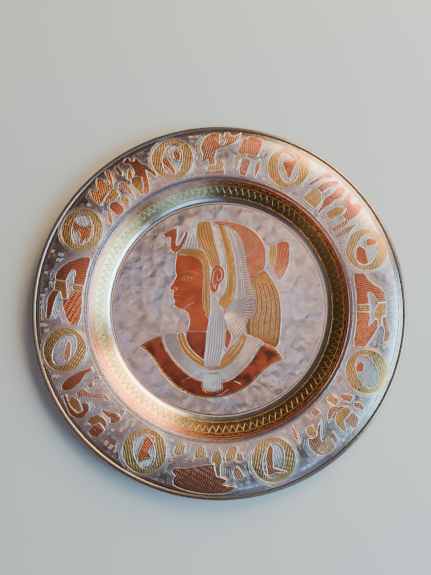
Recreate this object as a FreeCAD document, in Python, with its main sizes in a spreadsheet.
"""Engraved three-metal wall plate: a spun dish with a rolled, wired edge, thin copper, brass and
silver sheet laid on its face, and a hanging ring in a soldered strap under the rim.

Millimetres, +Z up, +Y towards the top of the picture. The origin is the middle of the underside
of the flat well, on the surface that the plate lies on."""

import FreeCAD, Part
import math
import os
import Sketcher

doc = FreeCAD.newDocument("WallPlate")

# ---------------------------------------------------------------- driving dimensions

dims = doc.addObject("Spreadsheet::Sheet", "Dims")
DIMENSIONS = [
    ("rim_radius", 100.0),        # outside of the rolled edge
    ("floor_radius", 57.5),       # flat well, to where the wall starts to curve up
    ("wall_width", 13.2),         # from there to where the wall has turned into the flange
    ("shoulder_height", 8.5),     # face of the plate where it has
    ("metal_thickness", 0.8),     # sheet that the dish is spun from
    ("foot_radius", 3.5),         # hollow curve between well and wall
    ("shoulder_curve", 4.0),      # round curve between wall and flange
    ("flange_rise", 12.0),        # slope of the flange at the shoulder, degrees
    ("flange_fall", 18.0),        # slope of the flange at the rolled edge, degrees
    ("bead_radius", 1.4),         # outside of the rolled edge's section
    ("bead_start", 140.0),        # where the flange runs into the roll, degrees
    ("bead_end", 240.0),          # where the roll stops underneath, degrees
    ("inlay_thickness", 0.3),     # copper, brass and silver sheet on the face
    ("frieze_gap", 0.9),          # plain silver between the shoulder and the picture frieze
    ("frieze_border", 0.53),      # and between the frieze and the rolled edge
    ("medallion_gap", 1.2),       # between a medallion and the edges of the frieze
    ("medallion_wall", 3.2),      # width of a medallion's brass ring
    ("groove_gap", 1.6),          # from the shoulder down to the copper band
    ("copper_width", 2.8),        # copper band on the wall
    ("zigzag_width", 5.6),        # brass band below it
    ("hanger_share", 0.42),       # how far out across the flange the hanging strap is
    ("tab_length", 12.0),         # soldered tab of the strap, along the rim
    ("tab_width", 5.0),
    ("eye_length", 3.0),          # eye of the strap, along the rim
    ("eye_wall", 0.7),
    ("eye_gap", 0.1),             # from the eye up to the flange, within the tab
    ("ring_radius", 7.0),         # hanging ring, to the middle of its wire
    ("ring_wire", 0.8),           # radius of the ring's wire
    ("ring_play", 0.35),          # room for the ring's wire in the eye
    ("ring_lift", 0.1),           # lowest point of the hanging ring above the table
]
for row, (alias, number) in enumerate(DIMENSIONS, start=1):
    dims.set(f"A{row}", alias)
    dims.set(f"B{row}", str(number))
    dims.setAlias(f"B{row}", alias)
doc.recompute()

# ---------------------------------------------------------------- places worked out from them

layout = doc.addObject("Spreadsheet::Sheet", "Layout")
LAYOUT = [
    ("shoulder_radius", "Dims.floor_radius + Dims.wall_width"),
    # the wall is a straight stretch that touches the foot curve and the shoulder curve
    ("crest_x", "shoulder_radius + Dims.shoulder_curve * sin(Dims.flange_rise * 1deg)"),
    ("crest_z", "Dims.shoulder_height - Dims.shoulder_curve * cos(Dims.flange_rise * 1deg)"),
    ("foot_z", "Dims.metal_thickness + Dims.foot_radius"),
    ("wall_reach", "crest_x - Dims.floor_radius"),
    ("wall_climb", "crest_z - foot_z"),
    ("wall_slope", "(asin((Dims.foot_radius + Dims.shoulder_curve)"
                   " / sqrt(wall_reach ^ 2 + wall_climb ^ 2))"
                   " + atan(wall_climb / wall_reach)) / 1deg"),
    # the flange is one round curve from the shoulder to the rolled edge
    ("bead_x", "Dims.rim_radius - Dims.bead_radius"),
    ("flange_end_x", "bead_x + Dims.bead_radius * cos(Dims.bead_start * 1deg)"),
    ("flange_curve", "(flange_end_x - shoulder_radius)"
                     " / (sin(Dims.flange_rise * 1deg) + sin(Dims.flange_fall * 1deg))"),
    ("flange_x", "shoulder_radius + flange_curve * sin(Dims.flange_rise * 1deg)"),
    ("flange_z", "Dims.shoulder_height - flange_curve * cos(Dims.flange_rise * 1deg)"),
    ("flange_end_z", "flange_z + flange_curve * cos(Dims.flange_fall * 1deg)"),
    ("bead_z", "flange_end_z - Dims.bead_radius * sin(Dims.bead_start * 1deg)"),
    ("wire_radius", "Dims.bead_radius - Dims.metal_thickness"),
    # rings of the decoration
    ("groove_radius", "shoulder_radius - Dims.groove_gap"),
    ("band_outer", "groove_radius - Dims.copper_width"),
    ("band_inner", "band_outer - Dims.zigzag_width"),
    ("frieze_inner", "shoulder_radius + Dims.frieze_gap"),
    ("frieze_outer", "flange_end_x - Dims.frieze_border"),
    ("medallion_radius", "(frieze_outer - frieze_inner) / 2 - Dims.medallion_gap"),
    ("medallion_field", "medallion_radius - Dims.medallion_wall"),
    # hanging strap and ring, hung from the underside of the flange
    ("hanger_place", "shoulder_radius + Dims.hanger_share * (flange_end_x - shoulder_radius)"),
    ("flange_under", "flange_z + sqrt((flange_curve - Dims.metal_thickness) ^ 2"
                     " - (hanger_place - flange_x) ^ 2)"),
    ("eye_bore", "Dims.ring_wire + Dims.ring_play"),
    ("eye_outer", "eye_bore + Dims.eye_wall"),
    ("eye_z", "flange_under - Dims.eye_gap - eye_outer"),
    ("ring_dip", "asin((eye_z - Dims.ring_wire - Dims.ring_lift) / (2 * Dims.ring_radius)) / 1deg"),
    ("ring_y", "hanger_place + Dims.ring_radius * cos(ring_dip * 1deg)"),
    ("ring_z", "eye_z - Dims.ring_radius * sin(ring_dip * 1deg)"),
]
for row, (alias, formula) in enumerate(LAYOUT, start=1):
    layout.set(f"A{row}", alias)
    layout.set(f"B{row}", "=" + formula)
    layout.setAlias(f"B{row}", alias)
    doc.recompute()


def size(alias):
    """Current number of one dimension or worked-out place."""
    holder = dims if alias in dict(DIMENSIONS) else layout
    number = holder.get(alias)
    return float(getattr(number, "Value", number))


def swing(radius, degrees, x, z):
    """Point of a circle about (x, z), its angle from the +X side."""
    turn = math.radians(degrees)
    return x + radius * math.cos(turn), z + radius * math.sin(turn)


# ---------------------------------------------------------------- profiles of the dish and its skin

PROFILE_PLANE = FreeCAD.Placement(FreeCAD.Vector(), FreeCAD.Rotation(FreeCAD.Vector(1, 0, 0), 90))


def line(start, end):
    return Part.LineSegment(FreeCAD.Vector(*start, 0), FreeCAD.Vector(*end, 0))


def bow(centre, radius, start, end):
    """Arc about a centre, from one angle to another, either way round, in degrees."""
    middle = (start + end) / 2
    points = [FreeCAD.Vector(*swing(radius, turn, *centre), 0) for turn in (start, middle, end)]
    return Part.Arc(*points)


def face_profile(outset):
    """The face of the dish from the foot of the wall to the end of the flange, moved outward."""
    foot = (size("floor_radius"), size("foot_z"))
    crest = (size("crest_x"), size("crest_z"))
    flange = (size("flange_x"), size("flange_z"))
    slope = size("wall_slope")
    rise, fall = size("flange_rise"), size("flange_fall")
    foot_curve = bow(foot, size("foot_radius") - outset, -90, slope - 90)
    crest_curve = bow(crest, size("shoulder_curve") + outset, slope + 90, rise + 90)
    flange_curve = bow(flange, size("flange_curve") + outset, rise + 90, 90 - fall)
    foot_end = swing(size("foot_radius") - outset, slope - 90, *foot)
    crest_start = swing(size("shoulder_curve") + outset, slope + 90, *crest)
    return [foot_curve, line(foot_end, crest_start), crest_curve, flange_curve]


def profile_sketch(name, edges, bound=()):
    """Half section in the XZ plane; bound lists (edge, kind, formula) of its curves' sizes."""
    sketch = doc.addObject("Sketcher::SketchObject", name)
    sketch.Placement = PROFILE_PLANE
    for edge in edges:
        sketch.addGeometry(edge, False)
    for index, kind, formula in bound:
        number = sketch.addConstraint(
            Sketcher.Constraint(kind, index, sketch.Geometry[index].Radius))
        sketch.setExpression(f"Constraints[{number}]", formula)
    return sketch


def turned(name, sketch):
    """Solid of revolution about Z."""
    body = doc.addObject("Part::Revolution", name)
    body.Source = sketch
    body.Axis = FreeCAD.Vector(0, 0, 1)
    body.Angle = 360
    body.Solid = True
    return body


def dish_edges():
    """Section of the dish: face, roll over the wire, roll back, underside."""
    bead = (size("bead_x"), size("bead_z"))
    bead_start, bead_end = size("bead_start"), size("bead_end") - 360
    wall = size("metal_thickness")
    over = face_profile(0)
    under = face_profile(-wall)
    roll_outer = bow(bead, size("bead_radius"), bead_start, bead_end)
    roll_inner = bow(bead, size("wire_radius"), bead_end, HOLE_TOP)
    centre_top = (0, wall)
    edges = [line(centre_top, (size("floor_radius"), wall)), *over, roll_outer]
    edges.append(line(swing(size("bead_radius"), bead_end, *bead),
                      swing(size("wire_radius"), bead_end, *bead)))
    edges.append(roll_inner)
    flange_under_end = swing(size("flange_curve") - wall, 90 - size("flange_fall"),
                             size("flange_x"), size("flange_z"))
    edges.append(line(swing(size("wire_radius"), HOLE_TOP, *bead), flange_under_end))
    edges += reversed(under)
    edges.append(line((size("floor_radius"), 0), (0, 0)))
    edges.append(line((0, 0), centre_top))
    return edges


HOLE_TOP = 165    # where the underside meets the hole for the wire, degrees

dish = turned("dish", profile_sketch("DishSection", dish_edges(), [
    (1, "Radius", "Dims.foot_radius"),
    (3, "Radius", "Dims.shoulder_curve"),
    (4, "Radius", "Layout.flange_curve"),
    (5, "Radius", "Dims.bead_radius"),
    (7, "Radius", "Layout.wire_radius"),
]))

rim_wire = doc.addObject("Part::Torus", "rim_wire")
rim_wire.setExpression("Radius1", "Layout.bead_x")
rim_wire.setExpression("Radius2", "Layout.wire_radius")
rim_wire.setExpression("Placement.Base.z", "Layout.bead_z")


def skin_edges():
    """Section of the layer in which the sheet on the wall and flange lies."""
    layer = size("inlay_thickness")
    lower, upper = face_profile(0), face_profile(layer)
    start = (size("floor_radius"), size("metal_thickness"))
    start_top = (size("floor_radius"), size("metal_thickness") + layer)
    end = swing(size("flange_curve"), 90 - size("flange_fall"), size("flange_x"), size("flange_z"))
    end_top = swing(size("flange_curve") + layer, 90 - size("flange_fall"),
                    size("flange_x"), size("flange_z"))
    return [*lower, line(end, end_top), *reversed(upper), line(start_top, start)]


skin = turned("SkinLayer", profile_sketch("SkinSection", skin_edges(), [
    (0, "Radius", "Dims.foot_radius"),
    (2, "Radius", "Dims.shoulder_curve"),
    (3, "Radius", "Layout.flange_curve"),
]))

# ---------------------------------------------------------------- cut sheet

PRISM_TOP = "Dims.shoulder_height * 2"    # taller than the crown of the flange


def outline_sketch(name, runs, place):
    """Closed outline. Each run starts at a corner and goes on through its other points to the
    next run's corner; a single run is one smooth closed curve."""
    sketch = doc.addObject("Sketcher::SketchObject", name)
    if len(runs) == 1:
        closed = Part.BSplineCurve()
        closed.interpolate(Points=[place(*point) for point in runs[0]], PeriodicFlag=True)
        sketch.addGeometry(closed, False)
        return sketch
    for run, following in zip(runs, runs[1:] + runs[:1]):
        points = [place(*point) for point in run] + [place(*following[0])]
        if len(points) == 2:
            sketch.addGeometry(Part.LineSegment(*points), False)
            continue
        curve = Part.BSplineCurve()
        curve.interpolate(Points=points)
        sketch.addGeometry(curve, False)
    count = len(runs)
    for index in range(count):
        sketch.addConstraint(Sketcher.Constraint("Coincident", index, 2, (index + 1) % count, 1))
    return sketch


def prism(name, sketch, length):
    body = doc.addObject("Part::Extrusion", name)
    body.Base = sketch
    body.DirMode = "Custom"
    body.Dir = FreeCAD.Vector(0, 0, 1)
    body.Solid = True
    body.setExpression("LengthFwd", length)
    return body


def joined(name, bodies):
    """One shape of several; a single one stays as it is."""
    if len(bodies) == 1:
        return bodies[0]
    fused = doc.addObject("Part::MultiFuse", name)
    fused.Shapes = bodies
    return fused


def less(name, base, tool):
    cut = doc.addObject("Part::Cut", name)
    cut.Base = base
    cut.Tool = tool
    return cut


def on_skin(name, tool):
    """Sheet of a given outline, dished to lie on the wall or the flange."""
    piece = doc.addObject("Part::Common", name)
    piece.Base = skin
    piece.Tool = tool
    return piece


def ring_prism(name, outer, inner):
    """Upright ring about the plate's axis."""
    tools = []
    for side, formula in (("Outer", outer), ("Inner", inner)):
        tool = doc.addObject("Part::Cylinder", name + side)
        tool.setExpression("Radius", formula)
        tool.setExpression("Height", PRISM_TOP)
        tools.append(tool)
    return less(name + "Tool", *tools)


pieces = [dish, rim_wire]
pieces.append(on_skin("copper_band", ring_prism("CopperBand", "Layout.groove_radius",
                                                "Layout.band_outer")))
pieces.append(on_skin("zigzag_band", ring_prism("ZigzagBand", "Layout.band_outer",
                                                "Layout.band_inner")))

# ---------------------------------------------------------------- figure in the well

FIGURE_FLOOR = 56.8    # floor radius that the figure's outlines are drawn for


def in_well(x, y):
    share = size("floor_radius") / FIGURE_FLOOR
    return FreeCAD.Vector(x * share, y * share, 0)


# a later piece keeps its whole outline, and the ones before it are cut to fit round it
FIGURE = [
    ("shoulders", [
        [(-42.4, -21.0), (-39.4, -18.9), (-36.4, -17.2), (-32.8, -15.6)], [(-29.8, -15.6)],
        [(-22.0, -18.0)], [(-8.0, -30.0)], [(6.0, -30.0)], [(20.0, -19.4)],
        [(24.4, -19.3), (28.8, -21.4), (32.0, -24.6)],
        [(34.3, -28.2), (30.0, -29.4), (25.2, -32.4), (18.8, -38.6), (8.6, -45.4), (-4.4, -47.9),
         (-15.4, -46.2), (-24.2, -41.0), (-31.0, -33.8), (-36.4, -26.0), (-40.2, -22.6)],
    ]),
    ("collar_silver", [
        [(-29.8, -15.2), (-28.8, -19.6), (-24.8, -26.4), (-19.0, -32.8), (-12.6, -37.2),
         (-3.6, -39.6), (6.0, -37.6), (12.6, -32.4), (17.2, -26.6), (20.4, -21.4)],
        [(24.6, -19.0)], [(19.0, -15.9)], [(14.0, -15.2)],
        [(12.2, -18.0), (8.0, -24.0), (3.0, -29.0), (-3.0, -30.8), (-8.0, -30.2), (-14.7, -25.5),
         (-19.0, -19.6)], [(-20.8, -14.3), (-26.0, -14.0)],
    ]),
    ("collar_brass_left", [
        [(-22.4, -14.6), (-20.8, -20.6), (-15.6, -27.4), (-8.0, -32.2)], [(-3.0, -32.9)],
        [(-3.0, -28.4)], [(-7.8, -28.2), (-13.8, -23.6), (-17.2, -18.6), (-18.8, -13.8)],
    ]),
    ("collar_brass_right", [
        [(-3.0, -28.4)], [(-3.0, -32.9), (3.4, -31.4), (9.2, -26.6), (13.0, -21.2)],
        [(14.6, -17.0)], [(13.8, -14.8), (11.2, -15.4), (8.2, -18.6), (4.6, -22.8)], [(1.0, -27.0)],
    ]),
    ("back_hair", [
        [(24.3, 20.2), (28.8, 14.6), (31.6, 8.0), (33.0, 0.0), (32.9, -10.0)],
        [(31.9, -18.8), (30.8, -20.8)], [(29.4, -21.8), (26.8, -20.4)],
        [(24.0, -19.6), (19.4, -16.6)], [(15.2, -14.6), (14.0, -10.2), (14.8, -6.8)],
        [(17.0, -2.0)], [(17.2, 9.0)], [(16.4, 15.0)], [(20.6, 18.0)],
    ]),
    ("bun", [
        [(-5.0, 46.5), (0.0, 47.2), (6.2, 46.6), (14.6, 44.2), (21.6, 38.8), (24.5, 33.6),
         (25.4, 27.6)], [(24.6, 20.6)], [(20.6, 18.0)],
        [(17.2, 15.2)], [(13.4, 18.0)], [(10.4, 36.0)], [(4.0, 43.0)], [(-0.8, 45.0)],
    ]),
    ("vulture_wing", [
        [(2.6, 45.0), (6.6, 43.4), (10.4, 40.2), (12.8, 35.6), (14.7, 27.0), (15.9, 18.0),
         (18.0, 9.6)], [(19.4, 4.4)], [(9.0, 4.4)], [(7.6, 20.0)], [(5.0, 34.0)],
    ]),
    ("pleat_fan", [
        [(9.0, 4.4)], [(19.4, 4.4), (19.6, 0.2), (18.2, -4.0)], [(15.2, -6.6)],
        [(14.2, -10.2)], [(15.3, -14.6)], [(13.6, -15.0), (10.8, -15.4), (8.0, -18.4)],
        [(4.4, -22.6)], [(2.0, -20.0)], [(1.0, -3.0)], [(3.0, 0.0)],
    ]),
    ("face_and_neck", [
        [(-22.9, 28.6), (-23.5, 25.0), (-23.7, 21.6), (-23.5, 18.8)],
        [(-22.9, 17.1), (-24.3, 14.4), (-26.0, 11.6), (-26.7, 10.3)],
        [(-26.1, 9.4), (-25.1, 9.1)], [(-24.3, 8.9), (-24.7, 8.1)],
        [(-25.2, 7.3), (-24.9, 6.7)], [(-24.3, 6.2), (-24.8, 5.7)],
        [(-24.9, 5.0), (-24.4, 4.3), (-23.8, 3.5), (-24.1, 2.4), (-24.0, 1.0), (-22.9, -0.2)],
        [(-21.0, -0.8), (-18.6, -1.8), (-16.8, -3.4), (-15.9, -6.0), (-15.9, -9.0),
         (-16.6, -11.4)], [(-17.4, -13.2)],
        [(-6.0, -13.2)], [(-5.2, -6.0)], [(-8.0, -1.0)], [(-8.0, 27.0)],
    ]),
    ("lower_neck", [
        [(-17.5, -13.2), (-17.0, -18.6), (-13.8, -23.6)], [(-7.9, -28.4)],
        [(-6.8, -20.0)], [(-6.0, -13.2)],
    ]),
    ("uraeus", [
        [(-30.6, 39.7), (-29.0, 41.0), (-26.0, 42.5)], [(-22.6, 43.0)],
        [(-22.8, 39.8), (-23.2, 36.4), (-23.1, 34.0)], [(-22.4, 33.3), (-20.6, 36.4)],
        [(-18.2, 41.3), (-17.4, 41.4)], [(-16.7, 40.6), (-18.0, 36.4)],
        [(-20.0, 31.4), (-21.6, 30.2)], [(-23.4, 28.9), (-25.6, 30.4), (-26.7, 33.6),
         (-26.6, 37.8)], [(-29.0, 37.8)],
    ]),
    ("headband", [
        [(-23.5, 28.4), (-22.6, 30.2)], [(-20.0, 31.6), (-14.0, 31.4)],
        [(-8.6, 30.4), (-6.6, 27.4), (-5.2, 22.4), (-4.8, 16.0)], [(-4.5, 6.0)],
        [(-4.5, -1.6)], [(-5.3, -6.6)], [(-7.3, -4.2), (-8.4, -0.6), (-8.9, 6.0)],
        [(-8.8, 19.6), (-9.6, 24.0), (-12.4, 26.4)],
    ]),
    ("front_cap", [
        [(-20.2, 31.5)], [(-18.0, 36.6), (-16.7, 40.8), (-14.9, 43.6)], [(-12.0, 45.4)],
        [(-11.4, 38.0)], [(-8.4, 30.4), (-14.0, 31.4)],
    ]),
    ("front_locks", [
        [(-12.2, 45.4), (-8.4, 47.0)], [(-4.6, 46.6)], [(-3.2, 42.0), (-2.2, 36.4), (-0.6, 30.6)],
        [(0.3, 26.4), (0.5, 22.4)], [(-3.8, 19.6)], [(-5.1, 22.4), (-6.6, 27.0)],
        [(-8.6, 30.5), (-11.2, 35.4)], [(-12.2, 39.0)],
    ]),
    ("hanging_ribbon", [
        [(-1.3, 45.4)], [(2.5, 45.2), (5.8, 36.0), (7.9, 27.0), (9.1, 16.0), (9.0, 9.4)],
        [(8.5, 4.4), (6.2, 1.6), (4.0, -0.4), (1.8, -0.4), (-0.2, 1.6), (-0.5, 3.6)],
        [(0.2, 5.2), (2.9, 8.8), (3.9, 13.0), (4.1, 20.0), (3.3, 28.4), (1.2, 37.4)],
    ]),
    ("ear", [[
        (-3.9, 20.4), (-0.6, 22.8), (2.3, 21.0), (3.0, 17.6), (2.1, 14.4), (0.3, 12.2),
        (-0.8, 9.0), (-3.4, 7.6), (-4.9, 10.4), (-4.7, 15.6),
    ]]),
    ("lappet", [
        [(-4.4, 6.4)], [(-1.4, 5.2)], [(-0.6, 2.4)], [(1.4, -0.8)],
        [(2.6, -6.0), (3.3, -13.0), (2.8, -21.0), (1.0, -27.2)], [(-0.2, -31.6)],
        [(-7.6, -32.0)], [(-7.5, -28.0), (-6.9, -20.0), (-6.2, -12.0)], [(-5.2, -6.6)],
        [(-4.4, -1.6)],
    ]),
    ("neck_strand", [
        [(3.3, -13.2), (4.5, -11.8), (5.9, -13.4), (6.0, -18.6)], [(4.4, -22.4)],
        [(2.8, -21.0), (3.2, -17.0)],
    ]),
    ("lappet_tab", [
        [(-7.8, -35.2)], [(0.4, -35.0)], [(0.8, -41.0), (0.1, -43.6), (-3.6, -44.5),
         (-7.4, -43.6)], [(-8.2, -41.0)],
    ]),
    ("fan_brass", [
        [(27.3, 33.2)], [(30.9, 34.4)], [(31.0, 29.0), (30.2, 24.0)],
        [(28.9, 20.6), (27.2, 24.0), (26.7, 28.4)],
    ]),
    ("fan_copper", [
        [(30.9, 34.4), (34.0, 35.9), (36.9, 35.6)], [(38.2, 33.0), (38.1, 26.4), (36.1, 19.2)],
        [(32.3, 14.0)], [(28.9, 20.6), (30.2, 24.0), (31.0, 29.0)],
    ]),
]


def laid_flat(drawing):
    """Sheet laid on the floor of the well, each piece cut to fit round the later ones."""
    blanks = []
    for name, runs in drawing:
        blank = prism(name + "Blank", outline_sketch(name + "Outline", runs, in_well),
                      "Dims.inlay_thickness")
        blank.setExpression("Placement.Base.z", "Dims.metal_thickness")
        blanks.append(blank)
    doc.recompute()
    for index, (name, _) in enumerate(drawing):
        box = blanks[index].Shape.BoundBox
        later = [blank for blank in blanks[index + 1:] if box.intersect(blank.Shape.BoundBox)]
        later = [blank for blank in later if blank.Shape.common(blanks[index].Shape).Volume > 0]
        if later:
            pieces.append(less(name, blanks[index], joined(name + "Later", later)))
            continue
        blanks[index].Label = name
        pieces.append(blanks[index])


laid_flat(FIGURE)

# ---------------------------------------------------------------- frieze of panels and medallions

FRIEZE_DRAWN = (72.0, 97.0)    # radii that the frieze's outlines are drawn between


def frieze_radius(drawn):
    """Radius on the plate of a radius in the drawings."""
    share = (drawn - FRIEZE_DRAWN[0]) / (FRIEZE_DRAWN[1] - FRIEZE_DRAWN[0])
    return size("frieze_inner") + share * (size("frieze_outer") - size("frieze_inner"))


def in_panel(turn):
    """Placer for a panel: millimetres along the middle of the frieze, and drawn radius."""
    middle = sum(FRIEZE_DRAWN) / 2

    def place(along, drawn):
        angle = math.radians(turn) + along / middle
        radius = frieze_radius(drawn)
        return FreeCAD.Vector(radius * math.sin(angle), radius * math.cos(angle), 0)

    return place


def in_medallion(turn):
    """Placer for a medallion: millimetres across it and outward, from its own middle."""
    middle = (size("frieze_inner") + size("frieze_outer")) / 2
    share = size("medallion_radius") / MEDALLION_DRAWN

    def place(across, outward):
        radius = middle + outward * share
        angle = math.radians(turn)
        return FreeCAD.Vector(radius * math.sin(angle) + across * share * math.cos(angle),
                              radius * math.cos(angle) - across * share * math.sin(angle), 0)

    return place


MEDALLION_DRAWN = 11.5    # radius that the medallions' figures are drawn for

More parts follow.
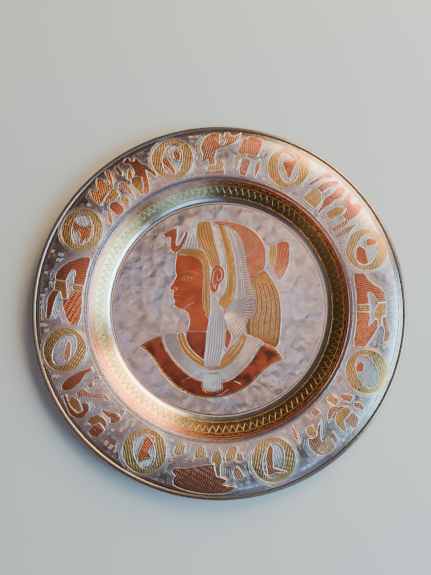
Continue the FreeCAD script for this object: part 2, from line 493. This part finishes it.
# turned clockwise from the top of the picture, degrees
PANELS = {
    "top": (3.0, {
        "copper": [
            [[(-14.4, 86.6), (-13.0, 91.0), (-9.6, 94.8), (-6.4, 95.8)], [(-4.0, 95.4)],
             [(-4.4, 89.2), (-3.0, 88.6), (-1.7, 89.4)], [(-1.9, 93.0), (-1.2, 96.0)],
             [(0.8, 96.0), (1.6, 93.6), (3.4, 94.2)], [(6.4, 97.0)],
             [(5.6, 92.6), (2.8, 89.6), (-1.2, 87.4)], [(-5.6, 85.6)], [(-6.8, 81.4)],
             [(-7.0, 77.4)], [(-10.4, 77.4)], [(-10.7, 80.6), (-12.6, 79.6)], [(-14.6, 79.8)],
             [(-13.6, 83.2)]],
            [[(4.8, 85.0), (6.4, 88.4)], [(7.6, 93.0)], [(9.8, 93.6), (11.4, 95.6), (14.0, 94.8)],
             [(15.6, 95.8), (17.4, 93.0), (17.6, 88.6)], [(16.6, 84.6), (14.2, 84.2)],
             [(10.9, 84.9), (7.4, 84.0)]],
            [[(8.6, 81.6), (11.0, 82.2)], [(13.8, 81.2), (13.4, 77.6)], [(12.4, 72.6)],
             [(8.8, 72.6), (7.9, 77.0)]],
            [[(18.2, 84.0)], [(19.8, 79.0)], [(18.6, 72.8)], [(17.6, 72.8)], [(16.8, 78.6)]],
            [[(-13.4, 72.6)], [(-13.2, 74.0)], [(-7.0, 74.0)], [(-1.2, 75.2)], [(-1.0, 72.6)]],
        ],
        "brass": [
            [[(-13.0, 74.4)], [(-11.0, 77.2)], [(-6.9, 77.2)], [(-6.2, 80.0)], [(-2.6, 79.8)],
             [(-1.4, 77.2)], [(-2.4, 75.4)], [(-6.0, 74.4)]],
            [[(4.0, 75.2)], [(4.3, 80.4), (5.4, 83.4)], [(7.2, 83.8)], [(10.8, 84.7)],
             [(10.8, 82.3), (8.3, 81.6)], [(7.2, 79.0)], [(6.9, 75.2)]],
        ],
    }),
    "upper_right": (46.5, {
        "copper": [
            [[(-16.0, 80.6)], [(-14.6, 84.6), (-13.4, 89.2), (-11.6, 93.2)], [(-9.8, 94.6)],
             [(-7.4, 93.8)], [(-10.4, 91.0), (-11.6, 86.8)], [(-13.0, 82.8)]],
            [[(-10.8, 82.8)], [(-9.2, 88.0), (-7.0, 91.2)], [(-4.4, 94.4)], [(-2.8, 92.6)],
             [(-5.0, 89.4)], [(-6.2, 82.8)]],
            [[(-3.4, 81.2)], [(-2.6, 84.6), (-2.2, 89.0)], [(-2.6, 90.8)],
             [(-1.0, 92.6), (0.8, 93.4), (2.2, 91.2)], [(3.0, 88.2)], [(1.6, 84.2)],
             [(1.9, 81.2), (1.0, 77.4)], [(1.5, 72.8)], [(-0.4, 72.8)], [(-1.6, 77.6)]],
            [[(3.4, 93.2), (4.8, 94.0), (6.4, 91.8)], [(9.0, 91.0)], [(10.0, 93.4)],
             [(12.4, 94.6), (14.4, 91.6), (15.5, 87.2), (14.8, 83.2)], [(10.4, 82.6)],
             [(9.3, 86.4)], [(5.8, 88.3), (4.4, 90.0)]],
            [[(13.2, 73.2)], [(13.5, 83.6)], [(15.4, 84.0)], [(16.6, 80.6)], [(16.2, 73.2)]],
            [[(18.6, 87.2)], [(21.4, 80.0)], [(19.6, 73.0)], [(17.8, 73.0)], [(17.2, 80.0)]],
        ],
        "brass": [
            [[(-13.6, 74.2)], [(-12.4, 79.0), (-11.0, 82.5)], [(-6.2, 82.5)], [(-4.4, 80.4)],
             [(-3.0, 79.0)], [(-2.2, 73.8)]],
            [[(3.4, 76.8)], [(4.2, 81.0), (6.2, 84.6)], [(9.1, 86.2)], [(10.1, 82.4)],
             [(8.8, 79.0)], [(9.3, 76.2)], [(6.0, 75.2)]],
        ],
    }),
    "right": (91.5, {
        "copper": [
            [[(-22.4, 73.6)], [(-20.6, 79.4), (-16.6, 80.8)], [(-13.4, 83.2), (-11.2, 86.0)],
             [(-8.4, 88.1)], [(-3.9, 88.3)], [(-3.7, 84.2)], [(-7.4, 82.2), (-9.4, 80.0)],
             [(-2.9, 79.6)], [(-2.7, 72.7)], [(-10.0, 73.0)]],
            [[(3.4, 88.0)], [(9.0, 90.0), (13.0, 91.2)], [(16.2, 90.2)], [(16.0, 88.0)],
             [(10.6, 88.0), (6.6, 86.4)], [(3.7, 86.3)]],
            [[(1.8, 72.7)], [(1.8, 79.6)], [(5.4, 80.0), (9.4, 79.4)], [(5.2, 82.2)],
             [(5.6, 83.8), (9.6, 84.3), (13.4, 82.8), (17.6, 81.2)], [(21.6, 79.6)],
             [(23.0, 74.2)], [(19.0, 73.0), (10.0, 73.0)]],
        ],
        "brass": [
            [[(-3.6, 88.3)], [(-3.4, 84.2), (-0.6, 82.6), (2.4, 81.6)], [(4.9, 82.3)],
             [(5.3, 84.0)], [(9.0, 84.2)], [(8.4, 86.1)], [(3.5, 86.0)], [(3.1, 88.2)]],
            [[(-2.4, 72.7)], [(-2.6, 79.7)], [(1.5, 79.7)], [(1.5, 72.7)]],
        ],
    }),
    "lower_right": (136.5, {
        "copper": [
            [[(-18.0, 84.4)], [(-14.6, 84.8), (-13.5, 82.6)], [(-13.0, 79.4)],
             [(-14.8, 77.8)], [(-17.4, 81.6)]],
            [[(-11.4, 88.2)], [(-11.2, 92.8)], [(-8.8, 94.3), (-6.4, 94.7)], [(-5.3, 91.8)],
             [(-5.2, 88.2)]],
            [[(-11.8, 84.1)], [(-6.3, 84.1)], [(-5.6, 81.4), (-3.4, 81.8)], [(1.4, 83.2)],
             [(-0.8, 80.0)], [(-4.2, 78.4)], [(-6.2, 78.6)], [(-6.6, 74.4)], [(-7.2, 79.6)]],
            [[(2.4, 88.2)], [(3.2, 93.2)], [(5.3, 92.4)], [(6.6, 94.4), (9.6, 95.0),
             (13.0, 94.0)], [(15.6, 91.6), (16.5, 88.0), (15.8, 84.2)], [(14.4, 82.6)],
             [(12.8, 84.0), (9.6, 83.6)], [(8.4, 81.8), (5.6, 80.2)], [(2.8, 79.0)],
             [(5.8, 82.2), (9.0, 86.0)], [(9.8, 88.0)], [(5.4, 88.2)]],
            [[(0.6, 72.8)], [(0.4, 76.4)], [(4.6, 76.4)], [(4.8, 72.8)]],
            [[(-15.1, 92.8)], [(-14.3, 89.7), (-14.2, 86.6)], [(-15.4, 86.0)],
             [(-17.2, 88.4), (-17.0, 90.6)]],
            [[(20.0, 82.4)], [(21.2, 78.0)], [(19.8, 73.6)], [(18.0, 73.0)], [(18.4, 78.0)]],
        ],
        "brass": [
            [[(-12.0, 79.6)], [(-7.8, 79.8)], [(-7.2, 75.0), (-9.2, 73.8)], [(-11.8, 75.0)]],
            [[(5.8, 88.6), (5.6, 91.4)], [(8.6, 93.0), (12.4, 92.9)], [(13.6, 90.4)],
             [(12.2, 89.0), (9.8, 90.2)], [(7.6, 88.2)]],
            [[(-11.8, 84.4)], [(-11.6, 87.9)], [(-5.0, 87.9)], [(-3.4, 91.8)], [(-1.0, 92.0)],
             [(-1.0, 88.0), (-1.8, 84.8)]],
            [[(9.0, 78.6)], [(9.4, 83.3)], [(12.6, 83.7)], [(13.8, 81.0), (12.8, 78.2)],
             [(11.0, 77.6)]],
        ],
    }),
    "bottom": (181.5, {
        "copper": [
            [[(-10.0, 93.4), (-7.6, 95.6), (-2.0, 96.6), (6.0, 96.8), (13.0, 96.3)],
             [(18.8, 95.2), (19.7, 92.8)], [(19.2, 90.4)], [(21.1, 89.2), (21.1, 87.4)],
             [(19.6, 86.2), (12.0, 84.4), (6.4, 82.6)], [(2.4, 81.9)], [(0.6, 82.0)],
             [(0.2, 84.8)], [(-0.8, 87.8)], [(-3.2, 88.4)], [(-5.8, 89.4)], [(-5.2, 91.0)],
             [(-3.6, 91.8)], [(-6.6, 92.8)]],
            [[(-14.3, 88.2)], [(-12.8, 89.8)], [(-9.8, 89.7)], [(-8.8, 87.0)], [(-9.4, 84.4),
             (-11.4, 83.8), (-13.2, 86.0)]],
            [[(-15.4, 80.2)], [(-13.6, 81.6)], [(-10.9, 80.5)], [(-12.0, 76.4)], [(-15.0, 77.6)]],
        ],
        "brass": [
            [[(-2.7, 88.2)], [(-0.9, 87.6), (0.0, 84.4)], [(0.4, 81.4)], [(2.2, 81.0),
             (1.9, 77.6), (0.4, 75.2), (-1.6, 74.6), (-3.3, 76.6)], [(-3.5, 80.8)],
             [(-2.6, 83.0)]],
            [[(5.0, 78.4)], [(8.0, 79.3), (12.0, 79.4)], [(11.9, 77.4), (10.0, 74.4),
             (7.6, 73.4), (5.6, 75.6)]],
            [[(-10.6, 80.3)], [(-5.8, 81.0), (-5.4, 77.8), (-7.4, 74.4), (-9.6, 73.2),
             (-12.0, 73.4)], [(-12.8, 75.6), (-11.2, 78.0)]],
            [[(17.0, 78.4)], [(19.6, 80.2), (23.0, 79.6), (23.4, 76.6), (21.0, 74.0)],
             [(17.8, 74.2)]],
        ],
    }),
    "lower_left": (226.5, {
        "copper": [
            [[(-6.0, 87.4)], [(-5.8, 93.2)], [(-3.2, 94.6)], [(-0.6, 94.4)], [(-0.2, 91.2)],
             [(-1.6, 87.0)]],
            [[(-8.8, 79.4)], [(-7.6, 81.8)], [(-5.4, 83.2)], [(-3.8, 81.4), (-0.4, 82.2)],
             [(3.2, 81.6)], [(0.4, 80.0), (-2.6, 78.6)], [(-4.2, 77.4)], [(-8.3, 77.4)]],
            [[(5.6, 90.4), (6.2, 92.8), (8.4, 95.0)], [(12.0, 95.8)], [(16.6, 94.8)],
             [(20.4, 94.0)], [(19.2, 92.4)], [(16.2, 93.0), (12.0, 93.2)], [(8.8, 92.2)],
             [(8.3, 89.4)], [(12.2, 87.8)],
             [(10.4, 85.6), (8.4, 85.2)], [(6.4, 87.4)]],
            [[(14.8, 87.8)], [(17.6, 87.4)], [(18.0, 83.0)], [(14.8, 81.8), (12.4, 80.0)],
             [(10.4, 77.2)], [(7.4, 75.2)], [(4.0, 75.2)], [(4.0, 76.8)], [(7.6, 78.2),
             (9.8, 81.0), (12.4, 83.6)], [(14.4, 84.8)]],
            [[(22.3, 93.0), (24.2, 92.2), (25.6, 89.6), (26.5, 85.6), (26.6, 80.0)],
             [(25.7, 74.4)], [(24.2, 74.4)], [(23.8, 78.4)], [(21.5, 81.8), (20.3, 86.4),
             (20.7, 90.6)]],
            [[(19.2, 76.6)], [(20.4, 75.4)], [(19.6, 73.4)], [(17.4, 72.7)], [(16.9, 73.8)]],
        ],
        "brass": [
            [[(15.2, 80.2)], [(17.8, 80.8)], [(18.4, 78.8), (17.6, 77.4)], [(16.0, 77.8)]],
            [[(-5.7, 87.0)], [(-1.4, 86.6)], [(0.1, 90.9)], [(2.8, 91.2)], [(3.9, 88.4)],
             [(2.0, 84.6), (-2.0, 83.6)], [(-5.0, 84.4)]],
            [[(9.1, 91.9)], [(12.0, 92.8), (16.4, 92.5)], [(17.0, 89.6)], [(13.6, 88.1)],
             [(8.8, 89.5)]],
            [[(-8.2, 77.1)], [(-4.4, 77.1)], [(-5.0, 73.6)], [(-7.6, 73.8)]],
        ],
    }),
    "left": (271.5, {
        "copper": [
            [[(-9.4, 90.2)], [(-8.4, 91.8)], [(-2.0, 91.3), (2.4, 90.6)], [(5.6, 88.2)],
             [(5.4, 84.8)], [(1.6, 86.6), (-3.6, 87.9)], [(-6.8, 88.6)]],
            [[(11.1, 82.4)], [(11.1, 87.9), (13.5, 88.7), (17.0, 87.3), (20.2, 85.1),
             (22.9, 82.2), (25.6, 79.0)], [(28.0, 74.4)], [(27.4, 73.2)], [(19.0, 72.8)],
             [(10.2, 72.7)], [(10.2, 78.4)], [(13.5, 78.9), (17.8, 79.2)],
             [(18.4, 80.6), (14.6, 81.8)]],
            [[(-14.6, 75.8)], [(-13.0, 79.0), (-10.6, 80.6)], [(-6.0, 81.8), (-2.4, 82.9)],
             [(0.6, 83.2)], [(1.7, 80.2), (5.9, 78.9)], [(6.0, 73.2)], [(-2.0, 72.8),
             (-9.0, 73.6)]],
        ],
        "brass": [
            [[(5.8, 88.1)], [(10.8, 88.3)], [(10.8, 82.4)], [(6.6, 81.2)], [(1.9, 80.5)],
             [(1.2, 83.2)], [(5.2, 84.6)]],
            [[(6.2, 73.0)], [(6.2, 77.8)], [(8.0, 79.0)], [(9.8, 78.4)], [(9.7, 72.9)]],
        ],
    }),
    "upper_left": (316.5, {
        "copper": [
            [[(-9.8, 84.0)], [(-9.2, 88.6), (-8.2, 92.2)], [(-6.4, 95.0)], [(-5.0, 91.2)],
             [(-3.8, 91.4), (-2.4, 94.6)], [(0.0, 96.8)], [(1.4, 93.6)], [(1.3, 89.4)],
             [(2.7, 89.2)], [(3.8, 93.6), (5.4, 96.8)], [(6.8, 95.6)], [(5.4, 90.4)],
             [(2.5, 86.1), (-2.0, 85.8)], [(-6.6, 84.6)]],
            [[(-7.2, 79.8)], [(-5.0, 80.9), (-2.0, 79.9)], [(-0.9, 77.0), (-0.9, 74.4)],
             [(-2.2, 72.6)], [(-6.4, 72.6)], [(-7.6, 75.2)]],
            [[(-14.0, 72.8)], [(-12.6, 72.8)], [(-8.6, 77.0)], [(-8.6, 79.4)], [(-10.4, 78.6)],
             [(-13.6, 74.8)]],
            [[(4.4, 83.8), (6.0, 85.8)], [(7.8, 86.0), (9.2, 82.6), (9.2, 78.2)], [(8.4, 74.4)],
             [(7.3, 74.4), (7.0, 78.6)], [(6.2, 82.4)]],
            [[(8.9, 89.8)], [(9.6, 95.2)], [(11.0, 95.2)], [(11.4, 90.4)], [(10.4, 88.4)]],
            [[(15.2, 90.0)], [(15.5, 87.9), (14.0, 84.4)], [(12.2, 83.2)],
             [(11.2, 84.8), (12.6, 87.4)]],
            [[(14.4, 94.8)], [(16.7, 96.2)], [(17.9, 95.4)], [(17.8, 93.2)], [(19.3, 91.8)],
             [(20.3, 94.0)], [(21.3, 91.8)], [(22.1, 88.6), (23.8, 86.8)],
             [(25.4, 82.9), (26.2, 78.8)], [(25.4, 78.2)], [(23.6, 81.6)], [(22.4, 84.6)],
             [(21.6, 81.0), (20.6, 77.6), (19.4, 74.8)], [(17.6, 72.7)], [(14.0, 72.7)],
             [(13.4, 79.0)], [(14.4, 83.8)], [(16.3, 86.0), (16.8, 88.8)], [(16.6, 91.6)],
             [(15.0, 93.2)]],
        ],
        "brass": [
            [[(13.0, 84.6)], [(16.6, 83.8)], [(18.3, 81.8), (17.6, 79.2)], [(15.4, 76.2)],
             [(14.2, 73.2)], [(12.4, 73.4)], [(11.8, 78.0)], [(11.4, 81.6)]],
            [[(-6.5, 84.3)], [(-1.8, 85.5), (2.3, 85.7)], [(2.3, 80.8)], [(-2.0, 80.3)],
             [(-5.4, 81.4)]],
            [[(0.4, 78.2)], [(2.4, 80.2)], [(4.6, 78.8), (4.6, 75.2)], [(2.2, 73.4)],
             [(0.4, 74.6)]],
        ],
    }),
}

MEDALLIONS = [
    (-17.6, [[[(-6.2, 1.4), (-4.2, 2.2), (-2.4, 0.2)], [(-0.4, -5.6)], [(-0.6, -8.8)],
              [(-2.4, -8.2)], [(-3.8, -4.0), (-5.6, -1.4)]],
             [[(0.9, 1.2), (2.6, 3.8), (4.6, 2.6), (4.4, -0.4), (3.0, -2.4), (1.4, -0.6)]]]),
    (26.5, [[[(-3.8, 2.4), (-1.8, 3.0)], [(1.0, 6.0)], [(2.0, 8.9)], [(4.0, 8.8)],
             [(3.6, 5.0), (3.0, 1.0)], [(4.2, -6.2)], [(1.6, -5.0), (-0.8, -2.4)],
             [(-3.4, -0.6)]]]),
    (69.2, [[[(-5.6, 3.4)], [(-4.4, 5.6), (-1.8, 7.2)], [(-0.8, 4.0)], [(-1.6, 0.6),
              (-3.8, 1.0)]],
            [[(-2.8, -2.2)], [(0.0, -0.6), (3.6, -1.4)], [(7.0, -1.8)], [(7.4, -4.2),
              (4.8, -6.6)], [(1.0, -7.4), (-2.4, -5.6)]]]),
    (114.3, [[[(-3.6, -4.0), (-1.6, -2.4), (1.6, -2.8), (2.2, -5.0), (-0.2, -6.4),
               (-3.0, -5.6)]]]),
    (160.8, [[[(-4.6, 7.4)], [(-1.6, 7.4), (2.0, 6.2)], [(5.4, 7.0)], [(4.8, 3.0)],
              [(3.6, -2.4), (1.6, -5.6)], [(-1.2, -8.8)], [(-1.8, -5.4), (-0.2, -1.6)],
              [(1.2, 3.6), (-1.4, 5.4)]]]),
    (207.1, [[[(-1.2, 5.0)], [(0.4, 6.6)], [(1.8, 4.0), (2.4, 0.0)], [(2.8, -5.0)],
              [(2.0, -8.6)], [(-1.8, -8.4)], [(-2.6, -5.0), (-2.0, -1.4)], [(-4.8, 0.8)],
              [(-2.6, 2.2)]]]),
    (253.9, [[[(-6.6, 0.4)], [(-4.6, 1.4), (-1.0, 0.2)], [(2.4, -1.8)], [(5.0, -3.2)],
              [(1.8, -4.2), (-0.8, -3.4)], [(-3.6, -2.4)], [(-5.6, -1.0)]]]),
    (299.0, [[[(-1.4, 8.2)], [(3.4, 8.0)], [(2.8, 5.0), (1.4, 1.0)], [(3.8, -2.4)],
              [(5.2, -4.2)], [(0.4, -7.0)], [(-2.8, -6.2)], [(-3.2, -4.2)], [(-7.4, -4.4)],
              [(-6.6, -2.4)], [(-2.4, -0.6), (-1.4, 3.0)]]]),
]


def panel(side, turn, outlines):
    """Copper and brass sheet of one panel; the copper is cut to fit round the brass."""
    blanks = {}
    for metal, drawings in outlines.items():
        name = f"panel_{side}_{metal}"
        prisms = [prism(f"{name}Blank{index}",
                        outline_sketch(f"{name}Outline{index}", runs, in_panel(turn)), PRISM_TOP)
                  for index, runs in enumerate(drawings)]
        blanks[metal] = joined(name + "Blanks", prisms)
    fitted = less(f"panel_{side}_copperFitted", blanks["copper"], blanks["brass"])
    pieces.append(on_skin(f"panel_{side}_copper", fitted))
    pieces.append(on_skin(f"panel_{side}_brass", blanks["brass"]))


for side, (turn, outlines) in PANELS.items():
    panel(side, turn, outlines)


def medallion(number, turn, outlines):
    """Brass ring with its copper figure, which the ring is cut to fit round."""
    name = f"medallion_{number}"
    place = in_medallion(turn)
    middle = place(0, 0)
    figures = [prism(f"{name}Blank{index}",
                     outline_sketch(f"{name}Outline{index}", runs, place), PRISM_TOP)
               for index, runs in enumerate(outlines)]
    figure = joined(name + "Figures", figures)
    discs = []
    for part, radius in (("Disc", "Layout.medallion_radius"), ("Field", "Layout.medallion_field")):
        disc = doc.addObject("Part::Cylinder", name + part)
        disc.setExpression("Radius", radius)
        disc.setExpression("Height", PRISM_TOP)
        disc.Placement.Base = middle
        discs.append(disc)
    field = joined(name + "Open", [discs[1], *figures])
    pieces.append(on_skin(name + "_ring", less(name + "RingTool", discs[0], field)))
    pieces.append(on_skin(name + "_figure", figure))


for number, (turn, outlines) in enumerate(MEDALLIONS, start=1):
    medallion(number, turn, outlines)

# ---------------------------------------------------------------- hanging strap and ring

# the tab is dished to lie under the flange
under = turned("TabLayer", profile_sketch("TabSection", [
    bow((size("flange_x"), size("flange_z")), size("flange_curve") - size("metal_thickness"),
        90 + size("flange_rise"), 90 - size("flange_fall")),
    line(swing(size("flange_curve") - size("metal_thickness"), 90 - size("flange_fall"),
               size("flange_x"), size("flange_z")),
         swing(size("flange_curve") - 2 * size("metal_thickness"), 90 - size("flange_fall"),
               size("flange_x"), size("flange_z"))),
    bow((size("flange_x"), size("flange_z")), size("flange_curve") - 2 * size("metal_thickness"),
        90 - size("flange_fall"), 90 + size("flange_rise")),
    line(swing(size("flange_curve") - 2 * size("metal_thickness"), 90 + size("flange_rise"),
               size("flange_x"), size("flange_z")),
         swing(size("flange_curve") - size("metal_thickness"), 90 + size("flange_rise"),
               size("flange_x"), size("flange_z"))),
]))
tab_block = doc.addObject("Part::Box", "TabBlock")
tab_block.setExpression("Length", "Dims.tab_length")
tab_block.setExpression("Width", "Dims.tab_width")
tab_block.setExpression("Height", PRISM_TOP)
tab_block.setExpression("Placement.Base.x", "-Dims.tab_length / 2")
tab_block.setExpression("Placement.Base.y", "Layout.hanger_place - Dims.tab_width / 2")
tab = doc.addObject("Part::Common", "Tab")
tab.Base = under
tab.Tool = tab_block


def eye_cylinder(name, radius, length):
    """Cylinder along the rim, about the hanging ring's pivot."""
    body = doc.addObject("Part::Cylinder", name)
    body.setExpression("Radius", radius)
    body.setExpression("Height", length)
    body.Placement.Rotation = FreeCAD.Rotation(FreeCAD.Vector(0, 1, 0), 90)
    body.setExpression("Placement.Base.x", f"-({length}) / 2")
    body.setExpression("Placement.Base.y", "Layout.hanger_place")
    body.setExpression("Placement.Base.z", "Layout.eye_z")
    return body


eye = eye_cylinder("Eye", "Layout.eye_outer", "Dims.eye_length")
strap_body = joined("StrapBody", [tab, eye])
pieces.append(less("hanging_strap", strap_body,
                   eye_cylinder("EyeBore", "Layout.eye_bore", "Dims.tab_length * 2")))

ring = doc.addObject("Part::Torus", "hanging_ring")
ring.setExpression("Radius1", "Dims.ring_radius")
ring.setExpression("Radius2", "Dims.ring_wire")
ring.Placement.Rotation = FreeCAD.Rotation(FreeCAD.Vector(1, 0, 0), -size("ring_dip"))
ring.setExpression("Placement.Base.y", "Layout.ring_y")
ring.setExpression("Placement.Base.z", "Layout.ring_z")
pieces.append(ring)

# ---------------------------------------------------------------- check and write

doc.recompute()
for item in doc.Objects:
    if "Invalid" in item.State or "Error" in item.State:
        raise RuntimeError(f"{item.Name} failed to build: {item.State}")
for piece in pieces:
    shape = piece.Shape
    if shape.isNull() or not shape.isValid() or shape.Volume <= 0:
        raise RuntimeError(f"{piece.Label} has no valid solid")

print(f"wall slope {size('wall_slope'):.1f} deg, flange curve {size('flange_curve'):.1f} mm, "
      f"hinge {size('hanger_place'):.4f} mm out and {size('eye_z'):.4f} mm up, "
      f"ring dips {size('ring_dip'):.2f} deg")
os.makedirs("parts", exist_ok=True)
for piece in pieces:
    piece.Shape.exportStep(f"parts/{piece.Label}.step")
print(f"{len(pieces)} nodes written")
